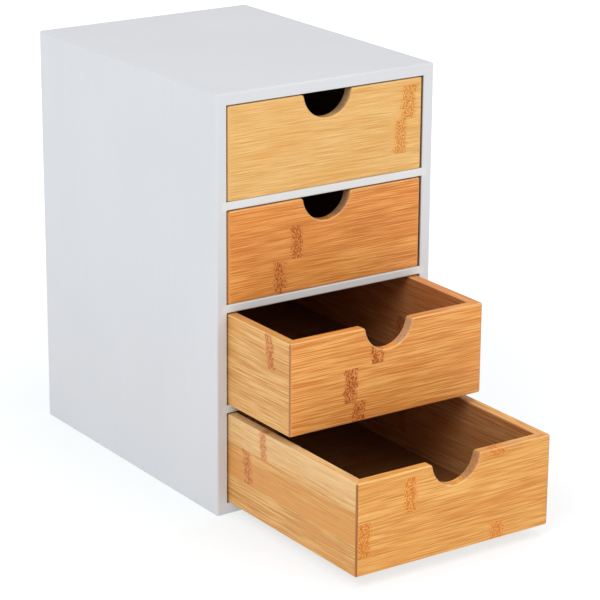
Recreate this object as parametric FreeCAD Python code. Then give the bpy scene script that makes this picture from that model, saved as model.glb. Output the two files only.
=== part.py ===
import FreeCAD, Part
import math
import os

# Desktop mini drawers: a painted fibreboard cabinet with four bamboo drawers.
# Millimetres. The origin is the centre of the cabinet's footprint, on the desk.
# +Z is up, and the drawers pull out towards -Y.

# The cabinet
cabinet_width = 150.0
cabinet_depth = 200.0
cabinet_height = 250.0
side_thickness = 7.0
top_thickness = 7.0
bottom_thickness = 7.0
shelf_thickness = 5.0
back_thickness = 3.0
housing_depth = 3.0
rebate_width = 4.0
outer_edge_radius = 1.2
shelf_edge_radius = 0.9
arris_radius = 0.5

# The drawers, from the top one to the bottom one, as far out as they are shown
first_pull = 0.0
second_pull = 0.0
third_pull = 62.0
fourth_pull = 126.0
drawer_pulls = (first_pull, second_pull, third_pull, fourth_pull)
drawer_wall = 6.5
drawer_side_gap = 1.0
drawer_top_gap = 0.65
drawer_back_gap = 0.5
drawer_corner_radius = 1.8
drawer_edge_radius = 1.1
floor_thickness = 3.0
floor_lift = 3.0
floor_tongue = 3.0
floor_fit_gap = 0.1

# The finger notch in a drawer's front
notch_radius = 16.0
notch_depth = 15.1
notch_corner_radius = 2.1

# The brads that pin the cabinet together
brad_radius = 0.6
brad_length = 18.0
brad_head_radius = 1.0
brad_head_thickness = 0.6
brad_sink = 1.5
brad_fit_gap = 0.03
brads_per_joint = 3
brad_end_inset = 25.0
pin_radius = 0.5
pin_length = 12.0
pin_head_radius = 0.9
pin_head_thickness = 0.4
pins_per_upright = 4
pins_per_rail = 3
pin_end_inset = 22.0

# Helpers for cutting and comparing
overrun = 1.0
match_tolerance = 0.001

left = -cabinet_width / 2
right = cabinet_width / 2
front = -cabinet_depth / 2
back = cabinet_depth / 2
inner_left = left + side_thickness
inner_right = right - side_thickness
back_panel_front = back - back_thickness
ceiling = cabinet_height - top_thickness
bay_count = len(drawer_pulls)
shelf_count = bay_count - 1
bay_height = (ceiling - bottom_thickness - shelf_count * shelf_thickness) / bay_count
bay_pitch = bay_height + shelf_thickness

drawer_width = inner_right - inner_left - 2 * drawer_side_gap
drawer_length = back_panel_front - front - drawer_back_gap
drawer_height = bay_height - drawer_top_gap


def block(low_x, high_x, low_y, high_y, low_z, high_z):
    corner = FreeCAD.Vector(low_x, low_y, low_z)
    return Part.makeBox(high_x - low_x, high_y - low_y, high_z - low_z, corner)


def lies_at(edge, axis, place):
    return all(abs(vertex.Point[axis] - place) < match_tolerance for vertex in edge.Vertexes)


def is_outer_edge(edge):
    """Whether an edge is one of the twelve edges of the whole cabinet."""
    faces = ((0, left), (0, right), (1, front), (1, back), (2, 0), (2, cabinet_height))
    return sum(lies_at(edge, axis, place) for axis, place in faces) == 2


def rounded(shape, radius, wanted):
    return shape.makeFillet(radius, [edge for edge in shape.Edges if wanted(edge)])


def upright_waste(face, inward, radius):
    """What rounding an upright arris at the front takes off, from the bottom to the top panel."""
    low_x, high_x = sorted((face - inward * overrun, face + inward * radius))
    corner = block(low_x, high_x, front - overrun, front + radius, bottom_thickness, ceiling)
    centre = FreeCAD.Vector(face + inward * radius, front + radius, bottom_thickness)
    return corner.cut(Part.makeCylinder(radius, ceiling - bottom_thickness, centre))


def level_waste(face, inward, radius):
    """What rounding a level arris at the front takes off, from side to side."""
    low_z, high_z = sorted((face - inward * overrun, face + inward * radius))
    corner = block(inner_left, inner_right, front - overrun, front + radius, low_z, high_z)
    centre = FreeCAD.Vector(inner_left, front + radius, face + inward * radius)
    along = FreeCAD.Vector(1, 0, 0)
    return corner.cut(Part.makeCylinder(radius, inner_right - inner_left, centre, along))


def spread(count, low, high):
    """Evenly spaced places from low to high."""
    return [low + (high - low) * step / (count - 1) for step in range(count)]


def shelf_level(index):
    """The underside of a shelf, counted from the lowest one."""
    return bottom_thickness + bay_height + index * bay_pitch


def bay_level(index):
    """The floor of a drawer's bay, counted from the top drawer."""
    return bottom_thickness + (bay_count - 1 - index) * bay_pitch


# A brad or pin is a headed wire. It is made along +Z with the top of its head at
# zero, then turned to point along the direction that it is driven in.
def headed_wire(radius, length, head_radius, head_thickness, growth=0.0):
    shank = Part.makeCylinder(radius + growth, length, FreeCAD.Vector(0, 0, 0))
    head = Part.makeCylinder(head_radius + growth, head_thickness + growth, FreeCAD.Vector(0, 0, 0))
    return shank.fuse(head).removeSplitter()


def driven(wire, place, direction):
    turned = wire.copy()
    rotation = FreeCAD.Rotation(FreeCAD.Vector(0, 0, 1), direction)
    turned.Placement = FreeCAD.Placement(place, rotation)
    return turned


brad_rows = spread(brads_per_joint, front + brad_end_inset, back - brad_end_inset)
brad_levels = (bottom_thickness / 2, cabinet_height - top_thickness / 2)


def brad_places():
    """Where the brads of the butted top and bottom start, and the way they run."""
    places = []
    for face, inward in ((left + brad_sink, 1), (right - brad_sink, -1)):
        for level in brad_levels:
            for row in brad_rows:
                places.append((FreeCAD.Vector(face, row, level), FreeCAD.Vector(inward, 0, 0)))
    return places


def pin_places():
    """Where the back panel's pins start. All are driven towards the front."""
    forward = FreeCAD.Vector(0, -1, 0)
    margin = rebate_width / 2
    places = []
    for level in spread(pins_per_upright, pin_end_inset, cabinet_height - pin_end_inset):
        for place in (inner_left - margin, inner_right + margin):
            places.append((FreeCAD.Vector(place, back, level), forward))
    for place in spread(pins_per_rail, inner_left + pin_end_inset, inner_right - pin_end_inset):
        for level in (bottom_thickness - margin, ceiling + margin):
            places.append((FreeCAD.Vector(place, back, level), forward))
    return places


brad_holes = Part.makeCompound([
    driven(headed_wire(brad_radius, brad_length, brad_head_radius, brad_head_thickness, brad_fit_gap), *place)
    for place in brad_places()])
pin_holes = Part.makeCompound([
    driven(headed_wire(pin_radius, pin_length, pin_head_radius, pin_head_thickness, brad_fit_gap), *place)
    for place in pin_places()])
fastener_holes = [brad_holes, pin_holes]

# The space that the back panel fills, let into the two sides, the top and the bottom
back_rebate = block(
    inner_left - rebate_width, inner_right + rebate_width,
    back_panel_front, back + overrun,
    bottom_thickness - rebate_width, ceiling + rebate_width)


def side_panel(outer, inner):
    """A full-height side with housings for the shelves and a rebate for the bottom."""
    low_x, high_x = sorted((outer, inner))
    panel = block(low_x, high_x, front, back, 0, cabinet_height)
    panel = rounded(panel, outer_edge_radius, is_outer_edge)
    bottom_seat = block(
        inner_left - housing_depth, inner_right + housing_depth,
        front - overrun, back + overrun, -overrun, bottom_thickness)
    cuts = [bottom_seat, back_rebate, upright_waste(inner, math.copysign(1, outer - inner), arris_radius)]
    for index in range(shelf_count):
        level = shelf_level(index)
        cuts.append(block(
            inner_left - housing_depth, inner_right + housing_depth,
            front - overrun, back_panel_front, level, level + shelf_thickness))
    return panel.cut(cuts + fastener_holes)


def top_panel():
    """The top, butted between the two sides."""
    panel = block(inner_left, inner_right, front, back, ceiling, cabinet_height)
    panel = rounded(panel, outer_edge_radius, is_outer_edge)
    return panel.cut([level_waste(ceiling, 1, arris_radius), back_rebate] + fastener_holes)


def bottom_panel():
    """The bottom, let into a rebate along the lower end of each side."""
    panel = block(
        inner_left - housing_depth, inner_right + housing_depth,
        front, back, 0, bottom_thickness)
    panel = rounded(panel, outer_edge_radius, is_outer_edge)
    return panel.cut([level_waste(bottom_thickness, -1, arris_radius), back_rebate] + fastener_holes)


def shelf(index):
    """A shelf, glued into a housing in each side, with a front that is rounded between them."""
    level = shelf_level(index)
    board = block(
        inner_left - housing_depth, inner_right + housing_depth,
        front, back_panel_front, level, level + shelf_thickness)
    under_edge = level_waste(level, 1, shelf_edge_radius)
    upper_edge = level_waste(level + shelf_thickness, -1, shelf_edge_radius)
    return board.cut([under_edge, upper_edge])


def back_panel():
    panel = block(
        inner_left - rebate_width, inner_right + rebate_width,
        back_panel_front, back,
        bottom_thickness - rebate_width, ceiling + rebate_width)
    return panel.cut([pin_holes])


def notch_prism():
    """The finger notch: a round scoop whose two top corners roll over into the rim."""
    rim = drawer_height
    scoop_centre = rim - notch_depth + notch_radius
    corner_level = rim - notch_corner_radius
    reach = notch_radius + notch_corner_radius
    corner_offset = math.sqrt(reach ** 2 - (scoop_centre - corner_level) ** 2)
    tangent_share = notch_radius / reach
    tangent_x = corner_offset * tangent_share
    tangent_z = scoop_centre + (corner_level - scoop_centre) * tangent_share
    # The middle of each rolled corner lies halfway between its two tangent points
    top_angle = math.pi / 2
    side_angle = math.atan2(tangent_z - corner_level, tangent_x - corner_offset)
    middle_angle = (top_angle + side_angle) / 2
    middle_x = corner_offset + notch_corner_radius * math.cos(middle_angle)
    middle_z = corner_level + notch_corner_radius * math.sin(middle_angle)
    start_y = front - overrun
    above = rim + overrun

    def point(x, z):
        return FreeCAD.Vector(x, start_y, z)

    outline = Part.Wire([
        Part.LineSegment(point(-corner_offset, above), point(-corner_offset, rim)).toShape(),
        Part.Arc(point(-corner_offset, rim), point(-middle_x, middle_z), point(-tangent_x, tangent_z)).toShape(),
        Part.Arc(point(-tangent_x, tangent_z), point(0, rim - notch_depth), point(tangent_x, tangent_z)).toShape(),
        Part.Arc(point(tangent_x, tangent_z), point(middle_x, middle_z), point(corner_offset, rim)).toShape(),
        Part.LineSegment(point(corner_offset, rim), point(corner_offset, above)).toShape(),
        Part.LineSegment(point(corner_offset, above), point(-corner_offset, above)).toShape(),
    ])
    return Part.Face(outline).extrude(FreeCAD.Vector(0, drawer_wall + 2 * overrun, 0))


def drawer_frame():
    """The four walls in one, closed and on the desk, with every edge eased."""
    low_x, high_x = -drawer_width / 2, drawer_width / 2
    low_y, high_y = front, front + drawer_length
    outer = block(low_x, high_x, low_y, high_y, 0, drawer_height)
    upright_corners = [
        edge for edge in outer.Edges
        if not lies_at(edge, 2, 0) and not lies_at(edge, 2, drawer_height)]
    outer = outer.makeFillet(drawer_corner_radius, upright_corners)
    inner = block(
        low_x + drawer_wall, high_x - drawer_wall, low_y + drawer_wall, high_y - drawer_wall,
        -overrun, drawer_height + overrun)
    frame = outer.cut([inner, notch_prism()])

    scoop_low = drawer_height - notch_depth

    def is_rim_edge(edge):
        """An edge of the rim, or of the notch, that lies along a wall's face."""
        if edge.BoundBox.ZMin < scoop_low - match_tolerance:
            return False
        runs_across = edge.BoundBox.YLength > match_tolerance and edge.BoundBox.XLength < match_tolerance
        in_notch = abs(edge.CenterOfMass.x) < notch_radius + notch_corner_radius
        return not (runs_across and in_notch)

    def is_foot_edge(edge):
        return lies_at(edge, 2, 0)

    frame = rounded(frame, drawer_edge_radius, is_rim_edge)
    frame = rounded(frame, drawer_edge_radius, is_foot_edge)
    groove = block(
        low_x + drawer_wall - floor_tongue - floor_fit_gap, high_x - drawer_wall + floor_tongue + floor_fit_gap,
        low_y + drawer_wall - floor_tongue - floor_fit_gap, high_y - drawer_wall + floor_tongue + floor_fit_gap,
        floor_lift, floor_lift + floor_thickness)
    return frame.cut(groove)


def mitre_wedge(first, second, third, fourth):
    """A tall prism over one wall, whose ends lie on the mitres."""
    corners = [FreeCAD.Vector(x, y, -overrun) for x, y in (first, second, third, fourth)]
    outline = Part.makePolygon(corners + corners[:1])
    return Part.Face(outline).extrude(FreeCAD.Vector(0, 0, drawer_height + 2 * overrun))


def drawer_walls():
    """The front, the two sides and the back of a closed drawer, parted at the mitres."""
    frame = drawer_frame()
    low_x, high_x = -drawer_width / 2, drawer_width / 2
    low_y, high_y = front, front + drawer_length
    depth = drawer_wall + overrun
    outer = (
        (low_x - overrun, low_y - overrun), (high_x + overrun, low_y - overrun),
        (high_x + overrun, high_y + overrun), (low_x - overrun, high_y + overrun))
    inner = (
        (low_x + depth, low_y + depth), (high_x - depth, low_y + depth),
        (high_x - depth, high_y - depth), (low_x + depth, high_y - depth))
    names = ("front", "right_side", "back", "left_side")
    walls = {}
    for index, name in enumerate(names):
        after = (index + 1) % len(names)
        wedge = mitre_wedge(outer[index], outer[after], inner[after], inner[index])
        walls[name] = frame.common(wedge)
    return walls


def drawer_floor():
    """The thin floor, held in a groove in all four walls."""
    margin = drawer_wall - floor_tongue
    return block(
        -drawer_width / 2 + margin, drawer_width / 2 - margin,
        front + margin, front + drawer_length - margin,
        floor_lift, floor_lift + floor_thickness)


os.makedirs("parts", exist_ok=True)


def keep(name, shape):
    shape.exportStep("parts/" + name + ".step")


keep("left_side_panel", side_panel(left, inner_left))
keep("right_side_panel", side_panel(right, inner_right))
keep("top_panel", top_panel())
keep("bottom_panel", bottom_panel())
keep("back_panel", back_panel())
for index in range(shelf_count):
    keep("shelf_%d" % (shelf_count - index), shelf(index))
brad = headed_wire(brad_radius, brad_length, brad_head_radius, brad_head_thickness)
keep("carcass_brads", Part.makeCompound([driven(brad, *place) for place in brad_places()]))
pin = headed_wire(pin_radius, pin_length, pin_head_radius, pin_head_thickness)
keep("back_panel_pins", Part.makeCompound([driven(pin, *place) for place in pin_places()]))

drawer_pieces = dict(drawer_walls(), floor=drawer_floor())
for index, pull in enumerate(drawer_pulls):
    for name, shape in drawer_pieces.items():
        placed = shape.copy()
        placed.translate(FreeCAD.Vector(0, -pull, bay_level(index)))
        keep("drawer_%d_%s" % (index + 1, name), placed)
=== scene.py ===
import math

import bpy
from mathutils import Matrix, Vector


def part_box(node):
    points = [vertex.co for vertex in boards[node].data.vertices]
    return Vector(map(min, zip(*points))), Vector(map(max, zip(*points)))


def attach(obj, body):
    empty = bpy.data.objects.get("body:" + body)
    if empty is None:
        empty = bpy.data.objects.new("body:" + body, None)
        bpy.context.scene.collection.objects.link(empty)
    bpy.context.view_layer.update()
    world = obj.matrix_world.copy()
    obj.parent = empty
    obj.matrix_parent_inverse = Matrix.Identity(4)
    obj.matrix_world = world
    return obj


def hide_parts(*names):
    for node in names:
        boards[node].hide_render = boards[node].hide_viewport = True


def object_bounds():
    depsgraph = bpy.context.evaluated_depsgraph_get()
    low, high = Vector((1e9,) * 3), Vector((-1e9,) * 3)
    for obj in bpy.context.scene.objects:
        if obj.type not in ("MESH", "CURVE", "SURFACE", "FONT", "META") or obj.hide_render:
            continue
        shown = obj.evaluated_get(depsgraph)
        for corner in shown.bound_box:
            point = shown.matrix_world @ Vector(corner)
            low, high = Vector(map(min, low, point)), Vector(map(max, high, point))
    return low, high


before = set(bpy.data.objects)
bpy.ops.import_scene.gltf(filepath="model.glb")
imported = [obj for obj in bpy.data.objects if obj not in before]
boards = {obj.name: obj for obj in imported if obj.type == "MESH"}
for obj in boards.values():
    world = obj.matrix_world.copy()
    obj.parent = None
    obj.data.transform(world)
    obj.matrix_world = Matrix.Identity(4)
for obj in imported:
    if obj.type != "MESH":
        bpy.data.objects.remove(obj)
cad_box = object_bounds()
MM = 0.001


# The sides, the top and the bottom
# Medium-density fibreboard, 7 mm thick. The top is butted between the full-height sides and the
# bottom is let into them, glued and pinned. The outside is sprayed white and rubbed back, so the
# arrises are soft and the spray leaves a very fine orange peel. The inside stays dark bare board,
# which also paints in the shade in the gaps round the drawers.
class Wiring:
    """Joins nodes in one shader tree. Each method returns the socket that it makes."""

    def __init__(self, tree):
        self.tree = tree

    def feed(self, socket, source):
        if isinstance(source, bpy.types.NodeSocket):
            self.tree.links.new(source, socket)
        else:
            socket.default_value = source

    def add(self, kind, sources=(), output=0, **options):
        node = self.tree.nodes.new("ShaderNode" + kind)
        for name, value in options.items():
            setattr(node, name, value)
        for key, source in dict(sources).items():
            self.feed(node.inputs[key], source)
        return node.outputs[output]

    def math(self, operation, *values):
        return self.add("Math", enumerate(values), operation=operation)

    def vector_math(self, operation, *values, output=0):
        return self.add("VectorMath", enumerate(values), output, operation=operation)

    def separate(self, vector):
        node = self.tree.nodes.new("ShaderNodeSeparateXYZ")
        self.feed(node.inputs[0], vector)
        return tuple(node.outputs)

    def combine(self, x, y, z):
        return self.add("CombineXYZ", enumerate((x, y, z)))

    def noise(self, point, cell, shift=0.0, detail=2.0):
        """Noise whose cells have the size given by the vector cell, moved on by shift cells."""
        spot = self.vector_math("DIVIDE", point, cell)
        moved = self.vector_math("ADD", spot, self.combine(shift, shift, shift))
        return self.add("TexNoise", {"Vector": moved, "Scale": 1.0, "Detail": detail})

    def fade(self, value, start, end):
        """Zero before start, one after end, and smooth between them."""
        sources = {"Value": value, "From Min": start, "From Max": end}
        return self.add("MapRange", sources, interpolation_type="SMOOTHSTEP")

    def blend(self, share, first, second):
        return self.add("Mix", {0: share, 6: first, 7: second}, 2, data_type="RGBA")

    def weigh(self, *pairs):
        """The sum of values, each times its own share."""
        total = 0.0
        for value, share in pairs:
            total = self.math("MULTIPLY_ADD", value, share, total)
        return total

    def place(self, group, sources):
        node = self.tree.nodes.new("ShaderNodeGroup")
        node.node_tree = group
        for name, source in sources.items():
            self.feed(node.inputs[name], source)
        return node.outputs


def shader_group(name, inputs, outputs):
    """An empty node group with its named inputs and outputs."""
    tree = bpy.data.node_groups.new(name, "ShaderNodeTree")
    for label, (kind, value) in inputs.items():
        socket = tree.interface.new_socket(label, in_out="INPUT", socket_type="NodeSocket" + kind)
        if value is not None:
            socket.default_value = value
    for label, kind in outputs.items():
        tree.interface.new_socket(label, in_out="OUTPUT", socket_type="NodeSocket" + kind)
    given = tree.nodes.new("NodeGroupInput").outputs
    result = tree.nodes.new("NodeGroupOutput").inputs
    return Wiring(tree), given, result


def arris_group():
    """Marks the rounded arrises, the only places where the normal is between two directions."""
    wire, given, result = shader_group("arrises", {"Normal": ("Vector", None)}, {"Mask": "Float"})
    x, y, z = wire.separate(wire.vector_math("ABSOLUTE", given["Normal"]))
    nearest = wire.math("MAXIMUM", x, wire.math("MAXIMUM", y, z))
    slant = wire.math("SUBTRACT", 1.0, nearest)
    least_slant = 0.01
    full_slant = 0.12
    wire.feed(result["Mask"], wire.fade(slant, least_slant, full_slant))
    return wire.tree


def paint_group():
    """Sprayed satin paint, with orange peel, nibs of dust and a slow drift in tone, and dark bare board
    that also stands in as painted shade.
    """
    wire, given, result = shader_group(
        "sprayed_paint",
        {
            "Point": ("Vector", None),
            "Tone": ("Color", (0.7, 0.7, 0.7, 1.0)),
            "Arris Tone": ("Color", (0.6, 0.6, 0.6, 1.0)),
            "Edge": ("Float", 0.0),
            "Bare And Shade": ("Float", 0.0),
            "Peel Size": ("Float", 1.3 * MM),
            "Drift Size": ("Float", 60.0 * MM),
        },
        {"Color": "Color", "Roughness": "Float", "Height": "Float"})
    point = given["Point"]
    peel_cell = wire.combine(given["Peel Size"], given["Peel Size"], given["Peel Size"])
    drift_cell = wire.combine(given["Drift Size"], given["Drift Size"], given["Drift Size"])
    peel = wire.noise(point, peel_cell, detail=1.0)
    drift = wire.noise(point, drift_cell, shift=3.0)
    run_length = 90.0 * MM
    run_width = 4.0 * MM
    runs = wire.noise(point, (run_width, run_width, run_length), shift=5.0)
    nib_size = 1.1 * MM
    nib = wire.fade(wire.noise(point, (nib_size,) * 3, shift=8.0, detail=0.0), 0.74, 0.82)

    # The coat is a little greyer where it lies thin, and along the rubbed arrises
    thin_tone = (0.35, 0.35, 0.36, 1.0)
    thin_share = 0.045
    thin = wire.fade(wire.weigh((drift, 0.6), (runs, 0.4)), 0.35, 0.65)
    tone = wire.blend(wire.math("MULTIPLY", thin, thin_share), given["Tone"], thin_tone)
    edge = wire.math("MULTIPLY", given["Edge"], wire.fade(drift, 0.3, 0.6))
    coat = wire.blend(edge, tone, given["Arris Tone"])

    # Bare board is brown, with paler chips of wood in it. Its dark tone inside the cabinet also paints
    # the shade there
    chip_size = 1.6 * MM
    glue_tone = (0.20, 0.145, 0.10, 1.0)
    chip_tone = (0.29, 0.215, 0.155, 1.0)
    chips = wire.fade(wire.noise(point, (chip_size,) * 3, shift=12.0, detail=3.0), 0.35, 0.65)
    board = wire.blend(chips, glue_tone, chip_tone)
    wire.feed(result["Color"], wire.blend(given["Bare And Shade"], coat, board))
    wire.feed(result["Roughness"], wire.weigh(
        (peel, 0.10), (drift, 0.12), (edge, 0.10), (given["Bare And Shade"], 0.30), (1.0, 0.30)))
    wire.feed(result["Height"], wire.weigh((peel, 0.6), (nib, 0.5), (drift, 0.4)))
    return wire.tree


arrises = arris_group()
sprayed_paint = paint_group()


def new_surface(name, bump_depth):
    """A material with one Principled shader, bumped by a height that is still to be joined."""
    material = bpy.data.materials.new(name)
    material.use_nodes = True
    tree = material.node_tree
    tree.nodes.clear()
    wire = Wiring(tree)
    shader = tree.nodes.new("ShaderNodeBsdfPrincipled")
    bump = tree.nodes.new("ShaderNodeBump")
    bump.inputs["Distance"].default_value = bump_depth
    tree.links.new(bump.outputs[0], shader.inputs["Normal"])
    tree.links.new(shader.outputs[0], tree.nodes.new("ShaderNodeOutputMaterial").inputs[0])
    return material, wire, shader, bump.inputs["Height"]


def join_surface(wire, shader, height, outputs):
    wire.feed(shader.inputs["Base Color"], outputs["Color"])
    wire.feed(shader.inputs["Roughness"], outputs["Roughness"])
    wire.feed(height, outputs["Height"])


def painted(name, tone, arris_tone, drift_size, inward):
    """Paint for one board. Just behind the cabinet's front, what looks inward turns to dark bare board,
    which also paints the shade in the gaps and bays.
    """
    peel_depth = 0.05 * MM
    dark_inside_start = 0.3 * MM
    dark_inside_end = 1.5 * MM
    material, wire, shader, height = new_surface(name, peel_depth)
    point = wire.add("TexCoord", output="Object")
    facing = wire.add("TexCoord", output="Normal")
    edge = wire.place(arrises, {"Normal": facing})["Mask"]
    # Inward faces just behind the front darken to bare board: painted shade for the gaps and bays
    bare_and_shade = 0.0
    for direction in inward:
        looks = wire.vector_math("DOT_PRODUCT", facing, direction, output=1)
        bare_and_shade = wire.math("MAXIMUM", bare_and_shade, wire.fade(looks, 0.75, 0.97))
    cabinet_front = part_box("top_panel")[0].y
    depth = wire.math("SUBTRACT", wire.separate(point)[1], cabinet_front)
    bare_and_shade = wire.math("MULTIPLY", bare_and_shade, wire.fade(depth, dark_inside_start, dark_inside_end))
    outputs = wire.place(sprayed_paint, {
        "Point": point, "Tone": tone, "Arris Tone": arris_tone, "Edge": edge, "Bare And Shade": bare_and_shade,
        "Drift Size": drift_size})
    join_surface(wire, shader, height, outputs)
    shader.inputs["Specular IOR Level"].default_value = 0.45
    return material


def dress(node, material):
    slots = boards[node].data.materials
    slots.clear()
    slots.append(material)


INWARD = {
    "left_side_panel": (1, 0, 0), "right_side_panel": (-1, 0, 0),
    "top_panel": (0, 0, -1), "bottom_panel": (0, 0, 1)}
panel_tone = (0.622, 0.617, 0.635, 1.0)
panel_arris_tone = (0.602, 0.592, 0.588, 1.0)
panel_drift_size = 60.0 * MM
for name, direction in INWARD.items():
    dress(name, painted(name + "_paint", panel_tone, panel_arris_tone, panel_drift_size, [direction]))


# The shelves
# The same board, 5 mm thick, with a rounded front edge. Each end is glued into a housing in
# the side, and the paint is rubbed a little darker and warmer along the rounded edge.
# The shelves' paint is a lighter copy of the sides' paint, painted light that makes up for the shade
# between the drawers. Behind the front both faces turn to dark bare board, which also paints shade in the
# bays.
shelf_tone = (0.675, 0.665, 0.655, 1.0)
shelf_arris_tone = (0.655, 0.64, 0.62, 1.0)
shelf_drift_size = 35.0 * MM
both_faces = [(0, 0, 1), (0, 0, -1)]
shelf_paint = painted("shelf_paint", shelf_tone, shelf_arris_tone, shelf_drift_size, both_faces)
for name in ("shelf_1", "shelf_2", "shelf_3"):
    dress(name, shelf_paint)


# The back panel
# A 3 mm board laid in a rebate all round and pinned. It gets one thin coat, so it is duller
# and greyer than the rest, in smaller patches, and its inner face stays dark bare board too, which
# also paints the shade inside the bays.
back_tone = (0.55, 0.55, 0.545, 1.0)
back_arris_tone = (0.48, 0.47, 0.46, 1.0)
back_drift_size = 25.0 * MM
dress("back_panel", painted("back_paint", back_tone, back_arris_tone, back_drift_size, [(0, -1, 0)]))


# The brads and pins
# Bright drawn wire with a slightly domed head. The brads are sunk in the sides and filled over,
# so only the pins show, just under the back panel's face, each turned a little differently by
# the hammer.
def steel_group():
    wire, given, result = shader_group(
        "drawn_wire", {"Point": ("Vector", None), "Mark Size": ("Float", 0.25 * MM)},
        {"Color": "Color", "Roughness": "Float", "Height": "Float"})
    cell = wire.combine(given["Mark Size"], given["Mark Size"], given["Mark Size"])
    marks = wire.noise(given["Point"], cell, detail=3.0)
    stain_size = 2.0 * MM
    bright_tone = (0.62, 0.62, 0.64, 1.0)
    dull_tone = (0.36, 0.34, 0.32, 1.0)
    dull = wire.fade(wire.noise(given["Point"], (stain_size,) * 3, shift=4.0), 0.4, 0.65)
    wire.feed(result["Color"], wire.blend(dull, bright_tone, dull_tone))
    wire.feed(result["Roughness"], wire.weigh((marks, 0.25), (dull, 0.2), (1.0, 0.2)))
    wire.feed(result["Height"], marks)
    return wire.tree


drawn_mark_depth = 0.03 * MM
bright_steel, wire, shader, height = new_surface("bright_steel", drawn_mark_depth)
steel = wire.place(steel_group(), {"Point": wire.add("TexCoord", output="Object")})
join_surface(wire, shader, height, steel)
shader.inputs["Metallic"].default_value = 1.0
dress("carcass_brads", bright_steel)


class Modelling:
    """Joins nodes in one Geometry Nodes tree with named inputs."""

    def __init__(self, name, inputs):
        self.tree = bpy.data.node_groups.new(name, "GeometryNodeTree")
        sockets = {"Geometry": "Geometry", **inputs}
        for label, kind in sockets.items():
            self.tree.interface.new_socket(label, in_out="INPUT", socket_type="NodeSocket" + kind)
        self.tree.interface.new_socket("Geometry", in_out="OUTPUT", socket_type="NodeSocketGeometry")
        self.given = self.tree.nodes.new("NodeGroupInput").outputs

    def add(self, kind, sources=(), output=0, **options):
        node = self.tree.nodes.new(kind)
        for name, value in options.items():
            setattr(node, name, value)
        for key, source in dict(sources).items():
            if isinstance(source, bpy.types.NodeSocket):
                self.tree.links.new(source, node.inputs[key])
            else:
                node.inputs[key].default_value = source
        return node.outputs[output]

    def math(self, operation, *values):
        return self.add("ShaderNodeMath", enumerate(values), operation=operation)

    def finish(self, geometry, material):
        whole = self.add("GeometryNodeRealizeInstances", {0: geometry})
        dressed = self.add("GeometryNodeSetMaterial", {"Geometry": whole, "Material": material})
        result = self.tree.nodes.new("NodeGroupOutput")
        self.tree.links.new(dressed, result.inputs["Geometry"])
        return self.tree


def pin_tree():
    """Turns each point into a headed pin that runs from the point along -Y."""
    model = Modelling("back_pins", {
        "Head Radius": "Float", "Head Thickness": "Float", "Shank Radius": "Float",
        "Length": "Float", "Dome": "Float", "Least Turn": "Vector", "Most Turn": "Vector",
        "Seed": "Int", "Steel": "Material"})
    given = model.given
    head = model.add("GeometryNodeMeshCylinder", {
        "Vertices": 20, "Fill Segments": 4, "Radius": given["Head Radius"],
        "Depth": given["Head Thickness"]}, fill_type="NGON")
    place = model.add("GeometryNodeInputPosition")
    x, y, z = (model.add("ShaderNodeSeparateXYZ", {0: place}, axis) for axis in range(3))
    square = model.math("ADD", model.math("MULTIPLY", x, x), model.math("MULTIPLY", y, y))
    share = model.math("DIVIDE", model.math("SQRT", square), given["Head Radius"])
    fall = model.math("MULTIPLY", model.math("MULTIPLY", share, share), given["Dome"])
    top_only = model.math("MULTIPLY", model.math("GREATER_THAN", z, 0.0), -1.0)
    drop = model.add("ShaderNodeCombineXYZ", {2: model.math("MULTIPLY", fall, top_only)})
    head = model.add("GeometryNodeSetPosition", {"Geometry": head, "Offset": drop})
    half_head = model.math("MULTIPLY", given["Head Thickness"], -0.5)
    head_lift = model.add("ShaderNodeCombineXYZ", {2: half_head})
    head = model.add("GeometryNodeTransform", {"Geometry": head, "Translation": head_lift})
    shank_length = model.math("ADD", given["Length"], half_head)
    shank = model.add("GeometryNodeMeshCone", {
        "Vertices": 12, "Radius Top": given["Shank Radius"], "Radius Bottom": given["Shank Radius"],
        "Depth": shank_length})
    shank_lift = model.add("ShaderNodeCombineXYZ", {2: model.math("MULTIPLY", given["Length"], -1.0)})
    shank = model.add("GeometryNodeTransform", {"Geometry": shank, "Translation": shank_lift})
    pin = model.tree.nodes.new("GeometryNodeJoinGeometry")
    for piece in (head, shank):
        model.tree.links.new(piece, pin.inputs[0])
    limits = {"Min": given["Least Turn"], "Max": given["Most Turn"], "Seed": given["Seed"]}
    turn = model.add("FunctionNodeRandomValue", limits, data_type="FLOAT_VECTOR")
    rotation = model.add("FunctionNodeRotateRotation", {
        0: model.add("FunctionNodeEulerToRotation", {0: turn}),
        1: model.add("FunctionNodeEulerToRotation", {0: (-math.pi / 2, 0.0, 0.0)})})
    pins = model.add("GeometryNodeInstanceOnPoints", {
        "Points": given["Geometry"], "Instance": pin.outputs[0], "Rotation": rotation})
    return model.finish(pins, given["Steel"])


def modelled(name, places, tree, sizes):
    """A plain mesh made by a Geometry Nodes tree from a list of points."""
    points = bpy.data.meshes.new(name + "_points")
    points.from_pydata(places, [], [])
    holder = bpy.data.objects.new(name + "_holder", points)
    bpy.context.scene.collection.objects.link(holder)
    modifier = holder.modifiers.new("build", "NODES")
    modifier.node_group = tree
    for socket in tree.interface.items_tree:
        if socket.in_out == "INPUT" and socket.name in sizes:
            modifier[socket.identifier] = sizes[socket.name]
    shown = holder.evaluated_get(bpy.context.evaluated_depsgraph_get())
    mesh = bpy.data.meshes.new_from_object(shown)
    bpy.data.objects.remove(holder)
    piece = bpy.data.objects.new(name, mesh)
    bpy.context.scene.collection.objects.link(piece)
    return piece


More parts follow.
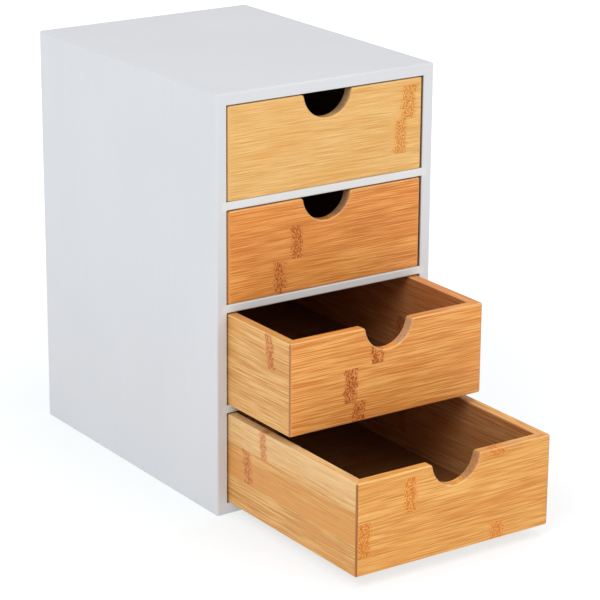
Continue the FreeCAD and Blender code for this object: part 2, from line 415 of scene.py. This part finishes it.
# Four pins go down each side and three along the top and the bottom
low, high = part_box("back_panel_pins")
head_radius = 0.9 * MM
head_thickness = 0.4 * MM
head_dome = 0.2 * MM
head_sink = 0.1 * MM
shank_radius = 0.5 * MM
pin_length = 11.8 * MM
pin_tilt = 0.05
pin_face = high.y - head_sink
uprights = 4
rails = 3
pin_columns = (low.x + head_radius, high.x - head_radius)
pin_rows = (low.z + head_radius, high.z - head_radius)
upright_start = 22.0 * MM
cabinet_height = cad_box[1][2]
rail_reach = 46.0 * MM
pin_places = []
for step in range(uprights):
    level = upright_start + (cabinet_height - 2 * upright_start) * step / (uprights - 1)
    pin_places += [(column, pin_face, level) for column in pin_columns]
for step in range(rails):
    across = rail_reach * (2 * step / (rails - 1) - 1)
    pin_places += [(across, pin_face, row) for row in pin_rows]
pins = modelled("back_pins", pin_places, pin_tree(), {
    "Head Radius": head_radius, "Head Thickness": head_thickness, "Shank Radius": shank_radius,
    "Length": pin_length, "Dome": head_dome, "Least Turn": (-pin_tilt, -pin_tilt, 0.0),
    "Most Turn": (pin_tilt, pin_tilt, math.tau), "Seed": 7, "Steel": bright_steel})
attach(pins, "cabinet")
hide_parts("back_panel_pins")


# The drawers
# Caramel bamboo, 6.5 mm thick: flat-sawn strips about 20 mm wide, glued edge to edge, planed,
# mitred at the corners, eased and given a thin satin lacquer. Every strip keeps the speckled
# brown joints of the cane, and the cut ends show at the corners and in the finger notch.
def joint_group():
    """The mark that one joint of the cane leaves on one strip."""
    wire, given, result = shader_group(
        "cane_joint",
        {
            "Grain": ("Vector", None), "Centre": ("Float", 0.0), "Lean": ("Float", 0.0),
            "Low": ("Float", 0.0), "High": ("Float", 0.0), "Width": ("Float", 9.0 * MM),
            "Softness": ("Float", 1.5 * MM),
        },
        {"Mask": "Float"})
    along, deep, across = wire.separate(given["Grain"])
    wander_cell = (30.0 * MM, 4.0 * MM, 3.0 * MM)
    wander_reach = 6.0 * MM
    wander = wire.noise(given["Grain"], wander_cell, shift=11.0, detail=3.0)
    wander = wire.math("MULTIPLY", wire.math("SUBTRACT", wander, 0.5), wander_reach)
    leaning = wire.math("MULTIPLY", wire.math("SUBTRACT", across, given["Low"]), given["Lean"])
    centre = wire.math("ADD", given["Centre"], wire.math("ADD", wander, leaning))
    distance = wire.math("ABSOLUTE", wire.math("SUBTRACT", along, centre))
    reach = wire.math("MULTIPLY", given["Width"], 0.5)
    outer = wire.math("ADD", reach, given["Softness"])
    inner = wire.math("SUBTRACT", reach, given["Softness"])
    inside = wire.fade(distance, outer, inner)
    half_seam = 0.15 * MM
    low_start, high_end = (wire.math("SUBTRACT", given[level], half_seam) for level in ("Low", "High"))
    low_end, high_start = (wire.math("ADD", given[level], half_seam) for level in ("Low", "High"))
    above = wire.fade(across, low_start, low_end)
    below = wire.fade(across, high_start, high_end)
    wire.feed(result["Mask"], wire.math("MULTIPLY", inside, wire.math("MULTIPLY", above, below)))
    return wire.tree


def bamboo_group():
    """Strip bamboo. In Grain, X runs along the fibres, Y into the board and Z across the strips."""
    wire, given, result = shader_group(
        "strip_bamboo",
        {
            "Grain": ("Vector", None), "Seed": ("Float", 0.0), "Strip Width": ("Float", 20.0 * MM),
            "Fibre Width": ("Float", 0.46 * MM), "Fibre Length": ("Float", 28.0 * MM),
            "Pale": ("Color", None), "Warm": ("Color", None), "Dark": ("Color", None),
            "Blush": ("Color", None), "Rubbed Highlight": ("Color", (0.86, 0.56, 0.28, 1.0)),
            "Joint": ("Float", 0.0), "Joint Pale": ("Color", None), "Joint Dark": ("Color", None),
            "Joint Strength": ("Float", 0.8), "Joint Stain": ("Float", 0.6),
            "Sway": ("Float", 3.0 * MM), "Swerve": ("Float", 2.0 * MM),
            "Inside": ("Float", 0.0), "Inside Tone": ("Color", (0.66, 0.60, 0.86, 1.0)),
            "End": ("Float", 0.0), "End Pale": ("Color", None), "End Dark": ("Color", None),
            "Edge": ("Float", 0.0), "Corner": ("Float", 0.0), "Corner Tone": ("Color", None),
            "Strip Fading": ("Vector", (0.0, 0.0, 0.0)), "Strip Slope": ("Vector", (0.0, 0.0, 0.0)),
            "Faded": ("Color", (0.80, 0.60, 0.34, 1.0)),
        },
        {"Color": "Color", "Roughness": "Float", "Height": "Float"})
    grain = given["Grain"]
    along, deep, across = wire.separate(grain)
    strip = wire.math("DIVIDE", across, given["Strip Width"])
    number = wire.math("FLOOR", strip)
    share = wire.math("FRACT", strip)
    draw = wire.combine(number, given["Seed"], 0.0)
    chance = wire.add("TexWhiteNoise", {"Vector": draw}, noise_dimensions="3D")
    shift = wire.math("MULTIPLY_ADD", chance, 40.0, given["Seed"])

    # The fibres wander a little and swerve where they pass a joint of the cane
    sway_cell = (90.0 * MM, 90.0 * MM, 14.0 * MM)
    swerve_cell = (4.0 * MM, 4.0 * MM, 2.5 * MM)
    sway = wire.noise(grain, sway_cell, shift=shift, detail=1.0)
    sway = wire.math("MULTIPLY", wire.math("SUBTRACT", sway, 0.5), given["Sway"])
    swerve = wire.noise(grain, swerve_cell, shift=shift)
    swerve = wire.math("MULTIPLY", wire.math("SUBTRACT", swerve, 0.5), given["Swerve"])
    swerve = wire.math("MULTIPLY", swerve, given["Joint"])
    bent = wire.combine(along, deep, wire.math("ADD", across, wire.math("ADD", sway, swerve)))

    # Fibres, streaks of fibres and slow clouds make the tone, and each strip differs a little
    width = given["Fibre Width"]
    length = given["Fibre Length"]
    fibre_cell = wire.combine(length, wire.math("MULTIPLY", width, 2.0), width)
    fibre = wire.noise(bent, fibre_cell, shift=shift, detail=1.0)
    streak_cell = wire.vector_math("MULTIPLY", fibre_cell, (2.0, 3.0, 3.2))
    streak = wire.noise(bent, streak_cell, shift=wire.math("ADD", shift, 5.0), detail=1.0)
    cloud_cell = wire.vector_math("MULTIPLY", fibre_cell, (3.0, 12.0, 16.0))
    cloud = wire.noise(bent, cloud_cell, shift=wire.math("ADD", shift, 9.0), detail=1.0)
    tone = wire.weigh((fibre, 0.74), (streak, 0.14), (cloud, 0.12))
    strip_spread = 0.05
    tone = wire.math("MULTIPLY_ADD", wire.math("SUBTRACT", chance, 0.5), strip_spread, tone)

    # Strips fade unevenly, some more along one side. The three lowest ones have a value and a
    # slope each, where a value above zero is faded and one below zero is deeper than the rest
    fading = 0.0
    tone_share = 0.05
    faded_share = 0.8
    deepened_share = 0.9
    levels = zip(wire.separate(given["Strip Fading"]), wire.separate(given["Strip Slope"]))
    for step, (value, slope) in enumerate(levels):
        value = wire.math("MULTIPLY_ADD", wire.math("SUBTRACT", share, 0.5), slope, value)
        fading = wire.math("MULTIPLY_ADD", wire.math("COMPARE", number, step, 0.5), value, fading)
    tone = wire.math("MULTIPLY_ADD", fading, tone_share, tone)
    faded = wire.math("MAXIMUM", wire.math("MULTIPLY", fading, faded_share), 0.0)
    deepened = wire.math("MAXIMUM", wire.math("MULTIPLY", fading, -deepened_share), 0.0)

    # Some stretches are redder, and some fibres are dark dashes
    blush_cell = (45.0 * MM, 12.0 * MM, 10.0 * MM)
    blush = wire.noise(bent, blush_cell, shift=wire.math("ADD", shift, 13.0))
    blush = wire.fade(blush, 0.46, 0.66)
    dash_cell = wire.vector_math("MULTIPLY", fibre_cell, (0.45, 0.7, 0.65))
    dash = wire.noise(bent, dash_cell, shift=wire.math("ADD", shift, 17.0), detail=1.0)
    dash = wire.fade(dash, 0.58, 0.70)

    # The tone picks dark, warm or pale wood, and the blush, the fading and the dashes lie over it
    wood = wire.blend(wire.fade(tone, 0.40, 0.53), given["Dark"], given["Warm"])
    wood = wire.blend(wire.fade(tone, 0.49, 0.62), wood, given["Pale"])
    wood = wire.blend(wire.math("MULTIPLY", blush, 0.35), wood, given["Blush"])
    wood = wire.blend(deepened, wood, given["Blush"])
    wood = wire.blend(faded, wood, given["Faded"])
    wood = wire.blend(wire.math("MULTIPLY", dash, 0.50), wood, given["Dark"])

    # Each strip is glued to the next along a hairline
    side = wire.math("MINIMUM", share, wire.math("SUBTRACT", 1.0, share))
    seam_reach = 0.22 * MM
    seam_core = 0.05 * MM
    seam = wire.fade(wire.math("MULTIPLY", side, given["Strip Width"]), seam_reach, seam_core)
    wood = wire.blend(wire.math("MULTIPLY", seam, 0.6), wood, given["Dark"])

    # A joint is a reddish band full of short dark flecks, which get fewer towards its edges
    fleck_cell = (0.85 * MM, 0.8 * MM, 1.15 * MM)
    fleck = wire.noise(bent, fleck_cell, shift=shift, detail=2.0)
    outside = wire.math("SUBTRACT", 1.0, given["Joint"])
    fleck = wire.weigh((fleck, 1.0), (outside, -0.22))
    fleck = wire.math("MULTIPLY", wire.fade(fleck, 0.43, 0.57), wire.fade(given["Joint"], 0.0, 0.25))
    toned = wire.math("MULTIPLY", given["Joint"], given["Joint Stain"])
    wood = wire.blend(toned, wood, given["Joint Pale"])
    wood = wire.blend(wire.math("MULTIPLY", fleck, given["Joint Strength"]), wood, given["Joint Dark"])

    # The arrises are rubbed paler and carry a painted highlight, and across the cut ends the fibres
    # show as dots. The hidden faces are unlacquered and darker, which also paints the shade inside
    # the drawers
    wood = wire.blend(wire.math("MULTIPLY", given["Edge"], 0.38), wood, given["Rubbed Highlight"])
    dot_cell = (3.0 * MM, 0.75 * MM, 0.75 * MM)
    dots = wire.add("TexVoronoi", {"Vector": wire.vector_math("DIVIDE", grain, dot_cell), "Scale": 1.0})
    dots = wire.fade(dots, 0.42, 0.18)
    cut = wire.blend(dots, given["End Pale"], given["End Dark"])
    wood = wire.blend(given["End"], wood, cut)
    wood = wire.blend(given["Corner"], wood, given["Corner Tone"])
    wood = wire.blend(given["Inside"], wood, wire.vector_math("MULTIPLY", wood, given["Inside Tone"]))

    wire.feed(result["Color"], wood)
    wire.feed(result["Roughness"], wire.weigh(
        (fibre, 0.14), (dash, 0.08), (given["End"], 0.18), (1.0, 0.34)))
    wire.feed(result["Height"], wire.weigh(
        (fibre, 0.6), (dash, -0.4), (seam, -0.9), (fleck, -0.2), (dots, -0.3)))
    return wire.tree


cane_joint = joint_group()
strip_bamboo = bamboo_group()


def palette(**colours):
    """Colours under the names of the group's inputs, such as End Pale for end_pale."""
    return {name.replace("_", " ").title(): (*colour, 1.0) for name, colour in colours.items()}


# HONEY and CARAMEL serve the closed drawers 1 and 2. Their end tones are kept darker than AMBER's and
# STRAW's, as painted shade in the finger notches that sit under the cabinet front.
HONEY = palette(
    pale=(0.79, 0.490, 0.190), warm=(0.73, 0.415, 0.137),
    dark=(0.63, 0.320, 0.082), blush=(0.72, 0.355, 0.088),
    joint_pale=(0.77, 0.350, 0.080), joint_dark=(0.48, 0.140, 0.006),
    corner_tone=(0.74, 0.425, 0.150),
    end_pale=(0.44, 0.250, 0.120), end_dark=(0.28, 0.130, 0.048))
CARAMEL = palette(
    pale=(0.84, 0.375, 0.100), warm=(0.73, 0.280, 0.060),
    dark=(0.57, 0.180, 0.032), blush=(0.70, 0.235, 0.040),
    joint_pale=(0.69, 0.225, 0.048), joint_dark=(0.33, 0.066, 0.004),
    corner_tone=(0.66, 0.260, 0.065),
    end_pale=(0.38, 0.190, 0.090), end_dark=(0.20, 0.080, 0.030))
AMBER = palette(
    pale=(0.835, 0.410, 0.114), warm=(0.735, 0.300, 0.068),
    dark=(0.59, 0.195, 0.035), blush=(0.68, 0.230, 0.041),
    joint_pale=(0.71, 0.225, 0.052), joint_dark=(0.33, 0.066, 0.004),
    corner_tone=(0.50, 0.205, 0.070),
    end_pale=(0.54, 0.285, 0.140), end_dark=(0.32, 0.125, 0.050))
GOLD = palette(
    pale=(0.785, 0.422, 0.120), warm=(0.70, 0.318, 0.073),
    dark=(0.56, 0.209, 0.038), blush=(0.69, 0.266, 0.046),
    joint_pale=(0.78, 0.300, 0.052), joint_dark=(0.50, 0.135, 0.006),
    corner_tone=(0.30, 0.105, 0.030),
    end_pale=(0.46, 0.215, 0.088), end_dark=(0.25, 0.090, 0.028))
STRAW = palette(
    pale=(0.76, 0.447, 0.172), warm=(0.675, 0.342, 0.103),
    dark=(0.54, 0.233, 0.055), blush=(0.66, 0.287, 0.066),
    joint_pale=(0.65, 0.245, 0.078), joint_dark=(0.38, 0.095, 0.010),
    corner_tone=(0.38, 0.150, 0.050),
    end_pale=(0.54, 0.285, 0.140), end_dark=(0.32, 0.125, 0.050))
UNEVEN_STRAW = {**STRAW, "Strip Fading": (0.0, -0.6, 0.36), "Strip Slope": (0.0, 0.8, 0.25)}


def bamboo(name, tones, origin, length, turn, seed, joints, end_axis, inward, strength):
    """A bamboo finish for one board.

    The board's first strip starts at the origin. The turn takes the board's own directions to
    grain space, end_axis is the direction that its fibres run in, and inward is the way that
    its hidden face looks. Its two ends are mitred and rounded over into the next boards.
    """
    pore_depth = 0.07 * MM
    corner_start = 3.2 * MM
    corner_end = 2.2 * MM
    material, wire, shader, height = new_surface(name, pore_depth)
    coordinates = wire.add("TexCoord", output="Object")
    moved = wire.vector_math("SUBTRACT", coordinates, origin)
    grain = wire.add("Mapping", {"Vector": moved, "Rotation": turn}, vector_type="POINT")
    mask = 0.0
    for centre, low, high, width, lean, softness in joints:
        mark = wire.place(cane_joint, {
            "Grain": grain, "Centre": centre * MM, "Low": low * MM, "High": high * MM,
            "Width": width * MM, "Lean": lean, "Softness": softness * MM})["Mask"]
        mask = wire.math("MAXIMUM", mask, mark)
    facing = wire.add("TexCoord", output="Normal")
    lengthwise = wire.math("ABSOLUTE", wire.separate(facing)[end_axis])
    end = wire.fade(lengthwise, 0.22, 0.62)
    from_middle = wire.math("ABSOLUTE", wire.math("SUBTRACT", wire.separate(grain)[0], length / 2))
    at_ends = wire.fade(from_middle, length / 2 - corner_start, length / 2 - corner_end)
    corner = wire.math("MULTIPLY", at_ends, wire.fade(lengthwise, 0.25, 0.52))
    # The hidden face is unlacquered and darker, which also paints the shade inside the drawer
    looks = wire.vector_math("DOT_PRODUCT", facing, inward, output=1)
    inside = wire.fade(looks, 0.5, 0.95)
    flatness = wire.math("ABSOLUTE", looks)
    # The rounded arrises, rubbed paler and given a painted highlight
    arris = wire.place(arrises, {"Normal": facing})["Mask"]
    edge = wire.math("MULTIPLY", arris, wire.fade(flatness, 0.05, 0.30))
    outputs = wire.place(strip_bamboo, {
        "Grain": grain, "Seed": seed, "Joint": mask, "Joint Strength": strength, "End": end,
        "Edge": edge, "Corner": corner, "Inside": inside, **tones})
    join_surface(wire, shader, height, outputs)
    shader.inputs["Specular IOR Level"].default_value = 0.2
    shader.inputs["Coat Weight"].default_value = 0.04
    shader.inputs["Coat Roughness"].default_value = 0.3
    return material


# Each board: its colours, the level where its first strip starts, its joints and how strongly
# they show. Each joint: its centre along the board, the two levels of its strip, its width, its
# lean and how softly it fades. The lengths are in millimetres from the drawer's front and foot,
# or on fronts and backs from its left side and foot.
FRONTS = {
    1: (HONEY, -9.0, [(123.6, 31, 51, 11.0, 0.08, 3.2), (118.4, 11, 31, 9.0, 0.03, 2.6)], 0.82),
    2: (CARAMEL, -0.3, [(46.8, 19.7, 39.7, 8, 0.0, 2.0), (34.8, 0, 19.7, 8.5, 0.0, 3.6)], 0.90),
    3: (AMBER, -7.7, [(59.3, 32.3, 52.3, 9, 0.0, 1.2), (41.0, 12.3, 32.3, 9, 0.05, 1.0),
                      (46.0, -1, 12.3, 9, 0.12, 1.4)], 0.92),
    4: (GOLD, -9.5, [(36.2, 30.5, 50.5, 9, 0.0, 2.8), (5.0, 10.5, 30.5, 9.5, 0.0, 2.0),
                     (97.3, -1, 10.5, 10, 0.0, 3.0), (96.0, 50.5, 55, 12, 0.0, 3.2)], 0.88),
}
LEFT_SIDES = {
    1: (HONEY, -3.0, [(60.0, 17, 37, 8, 0.0, 2.0)], 0.7),
    2: (CARAMEL, -6.0, [(120.0, 14, 34, 8, 0.0, 2.0)], 0.7),
    3: (STRAW, -5.5, [(18.5, 34.5, 54.5, 7.5, 0.12, 1.3)], 0.85),
    4: (UNEVEN_STRAW, -1.5,
        [(89.5, 38.5, 58.5, 6.5, 0.10, 2.0), (104.5, 18.5, 38.5, 9, 0.15, 2.6)], 0.75),
}
RIGHT_SIDES = {
    1: (HONEY, -7.0, [(40.0, 13, 33, 8, 0.0, 2.0)], 0.7),
    2: (CARAMEL, -2.0, [(90.0, 18, 38, 8, 0.0, 2.0), (150.0, 38, 58, 8, 0.0, 2.0)], 0.7),
    3: (AMBER, -12.0, [(70.0, 8, 28, 8, 0.0, 2.0)], 0.7),
    4: (GOLD, -4.0, [(130.0, 16, 36, 8, 0.0, 2.0), (165.0, 36, 56, 8, 0.0, 2.0)], 0.7),
}
BACKS = {
    1: (HONEY, -5.0, [(30.0, 15, 35, 8, 0.0, 2.0)], 0.7),
    2: (CARAMEL, -10.0, [(95.0, 10, 30, 8, 0.0, 2.0)], 0.7),
    3: (AMBER, -3.0, [(20.0, 17, 37, 8, 0.0, 2.0), (88.0, 37, 57, 8, 0.0, 2.0)], 0.7),
    4: (GOLD, -8.0, [(62.0, 12, 32, 8, 0.0, 2.0)], 0.7),
}

# Each wall: its boards, the turn to grain space with the axis of its fibres, the way that its
# hidden face looks, and what it adds to the drawer's seed
QUARTER = math.pi / 2
ALONG_X = ((0.0, 0.0, 0.0), 0)
ALONG_Y = ((0.0, 0.0, -QUARTER), 1)
WALLS = {
    "front": (FRONTS, ALONG_X, (0, 1, 0), 0.0),
    "left_side": (LEFT_SIDES, ALONG_Y, (1, 0, 0), 3.0),
    "right_side": (RIGHT_SIDES, ALONG_Y, (-1, 0, 0), 6.0),
    "back": (BACKS, ALONG_X, (0, -1, 0), 9.0),
}
for number in (1, 2, 3, 4):
    front_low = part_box("drawer_%d_front" % number)[0]
    side_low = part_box("drawer_%d_left_side" % number)[0]
    drawer_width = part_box("drawer_%d_right_side" % number)[1].x - side_low.x
    drawer_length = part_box("drawer_%d_back" % number)[1].y - front_low.y
    for wall, (finishes, (turn, end_axis), inward, seed_step) in WALLS.items():
        tones, first_strip, joints, strength = finishes[number]
        node = "drawer_%d_%s" % (number, wall)
        origin = Vector((side_low.x, front_low.y, front_low.z + first_strip * MM))
        length = (drawer_width, drawer_length)[end_axis]
        levels = [(centre, low - first_strip, high - first_strip, width, lean, softness)
                  for centre, low, high, width, lean, softness in joints]
        seed = 12.0 * number + seed_step
        dress(node, bamboo(
            node + "_bamboo", tones, origin, length, turn, seed, levels, end_axis, inward, strength))


# The drawers' floors
# Thin bamboo-faced board, slid into the groove round the walls before the last mitre is
# glued. It is given a much darker inside tone than the walls, as painted shade for the deep inside
# of the drawers, and left without lacquer.
floor_shade_tone = (0.34, 0.31, 0.42, 1.0)
floor_turn = (QUARTER, 0.0, 0.0)
floor_joints = [(40.0, 60, 80, 8, 0.0, 1.5), (90.0, 120, 140, 8, 0.0, 1.5), (66.0, 20, 40, 8, 0.0, 1.5)]
for number, tones in enumerate((HONEY, CARAMEL, AMBER, GOLD), start=1):
    node = "drawer_%d_floor" % number
    low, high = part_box(node)
    toned = {**tones, "Inside Tone": floor_shade_tone}
    length = high.x - low.x
    seed = 70.0 + number
    dress(node, bamboo(
        node + "_bamboo", toned, low, length, floor_turn, seed, floor_joints, 0, (0, 0, 1), 0.6))


# The desk
# A plain sheet on a light table, which runs back under the whole view, so there is no horizon.
# The sheet is warm, the light from below is cool, and together they are white. That light is
# weaker near the cabinet, which leaves room for the shadows.
def desk_finish():
    tooth_depth = 0.1 * MM
    sheet_tone = (0.43, 0.320, 0.290, 1.0)
    mottle_tone = (0.435, 0.325, 0.295, 1.0)
    near_glow = (0.546, 0.662, 0.695, 1.0)
    far_glow = (0.712, 0.855, 0.897, 1.0)
    near_reach = 0.15
    far_reach = 0.55
    material, wire, shader, height = new_surface("white_sheet", tooth_depth)
    point = wire.add("TexCoord", output="Object")
    mottle_size = 400.0 * MM
    tooth_size = 1.5 * MM
    mottle = wire.noise(point, (mottle_size,) * 3)
    wire.feed(shader.inputs["Base Color"], wire.blend(mottle, sheet_tone, mottle_tone))
    wire.feed(height, wire.noise(point, (tooth_size,) * 3))
    shader.inputs["Roughness"].default_value = 0.75
    shader.inputs["Specular IOR Level"].default_value = 0.1
    away = wire.fade(wire.vector_math("LENGTH", point, output=1), near_reach, far_reach)
    wire.feed(shader.inputs["Emission Color"], wire.blend(away, near_glow, far_glow))
    shader.inputs["Emission Strength"].default_value = 1.0
    return material


desk_half = 12.0
desk_mesh = bpy.data.meshes.new("desk")
desk_corners = [(x * desk_half, y * desk_half, 0) for x, y in ((-1, -1), (1, -1), (1, 1), (-1, 1))]
desk_mesh.from_pydata(desk_corners, [], [(0, 1, 2, 3)])
desk = bpy.data.objects.new("desk", desk_mesh)
desk_mesh.materials.append(desk_finish())
bpy.context.scene.collection.objects.link(desk)


# The light
# A white tent all round and three large soft lamps: one stands high on the left, one in
# front on the right, and one hangs overhead.
scene = bpy.context.scene
scene.view_settings.view_transform = "Standard"
tent = bpy.data.worlds.new("tent")
tent.use_nodes = True
tent_light = tent.node_tree.nodes["Background"]
tent_light.inputs["Color"].default_value = (0.97, 0.985, 1.0, 1)
tent_light.inputs["Strength"].default_value = 0.75
scene.world = tent


def soft_lamp(name, place, aim, size, power, colour):
    lamp = bpy.data.lights.new(name, "AREA")
    lamp.shape = "DISK"
    lamp.size = size
    lamp.energy = power
    lamp.color = colour
    holder = bpy.data.objects.new(name, lamp)
    direction = Vector(aim) - Vector(place)
    turned = direction.to_track_quat("-Z", "Y").to_matrix().to_4x4()
    holder.matrix_world = Matrix.Translation(place) @ turned
    scene.collection.objects.link(holder)


middle = (0.0, 0.0, cabinet_height / 2)
soft_lamp("key_lamp", (-1.5, -0.9, 1.6), middle, 1.2, 17.5, (0.86, 0.955, 1.0))
soft_lamp("fill_lamp", (0.7, -2.0, 0.9), middle, 1.0, 7.5, (1.0, 0.98, 0.92))
soft_lamp("top_lamp", (0.1, -0.1, 2.4), middle, 1.4, 9.5, (1.0, 0.985, 0.99))


# The camera
# A long lens that looks down from the front left of the cabinet, aimed low and a little to the
# right of its middle, and turned a hair.
azimuth = math.radians(34.47)
elevation = math.radians(18.17)
roll = math.radians(0.39)
camera_distance = 1.5197
camera_aim = Vector((25.8 * MM, -36.1 * MM, 96.3 * MM))
forward = Vector((
    math.sin(azimuth) * math.cos(elevation),
    math.cos(azimuth) * math.cos(elevation),
    -math.sin(elevation)))
lens = bpy.data.cameras.new("camera")
lens.lens = 150.0
lens.sensor_width = 36.0
lens.clip_end = 60.0
camera = bpy.data.objects.new("camera", lens)
swung = Matrix.Rotation(-azimuth, 4, "Z")
tipped = Matrix.Rotation(QUARTER - elevation, 4, "X")
rolled = Matrix.Rotation(roll, 4, "Z")
camera.matrix_world = Matrix.Translation(camera_aim - forward * camera_distance) @ swung @ tipped @ rolled
scene.collection.objects.link(camera)
scene.camera = camera
